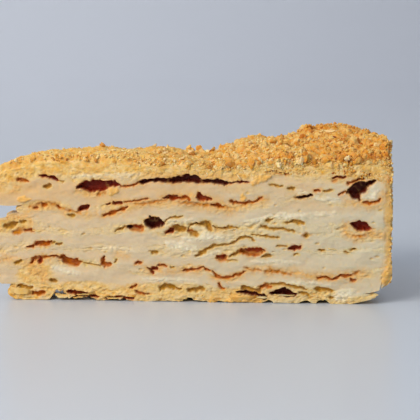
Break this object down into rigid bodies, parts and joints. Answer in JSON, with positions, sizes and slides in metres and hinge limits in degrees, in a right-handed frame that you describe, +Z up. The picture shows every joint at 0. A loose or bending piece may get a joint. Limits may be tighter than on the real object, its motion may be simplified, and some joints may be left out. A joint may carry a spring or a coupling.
{
  "type": "mille-feuille cake slice",
  "caption": "Wedge slice of a round cake of thin puff pastry sheets with cream between them, a loose crumb topping and a crumbed rim; it rests on its flat underside.",
  "frame": {"origin": "centre of the slice's bounding box in plan, on the surface that the slice rests on", "axes": "+X runs along the front cut from the tip to the crumbed rim, the front cut faces -Y, +Z is up"},
  "size_m": [0.1279, 0.0709, 0.0525],
  "materials": {
    "pastry": "dry, flaky puff pastry, pale gold inside and browned on its faces",
    "cream": "soft satin custard cream with fine pores and smears from the knife",
    "crumb": "dry golden crumbs of crushed puff pastry"
  },
  "bodies": {
    "root": {"bottom_pastry": "pastry", "cream_1": "cream", "pastry_2": "pastry", "cream_2": "cream", "pastry_3": "pastry", "cream_3": "cream", "pastry_4": "pastry", "cream_4": "cream", "pastry_5": "pastry", "cream_5": "cream", "top_pastry": "pastry", "crumb_topping": "crumb", "rim_coat": "crumb"}
  },
  "joints": []
}
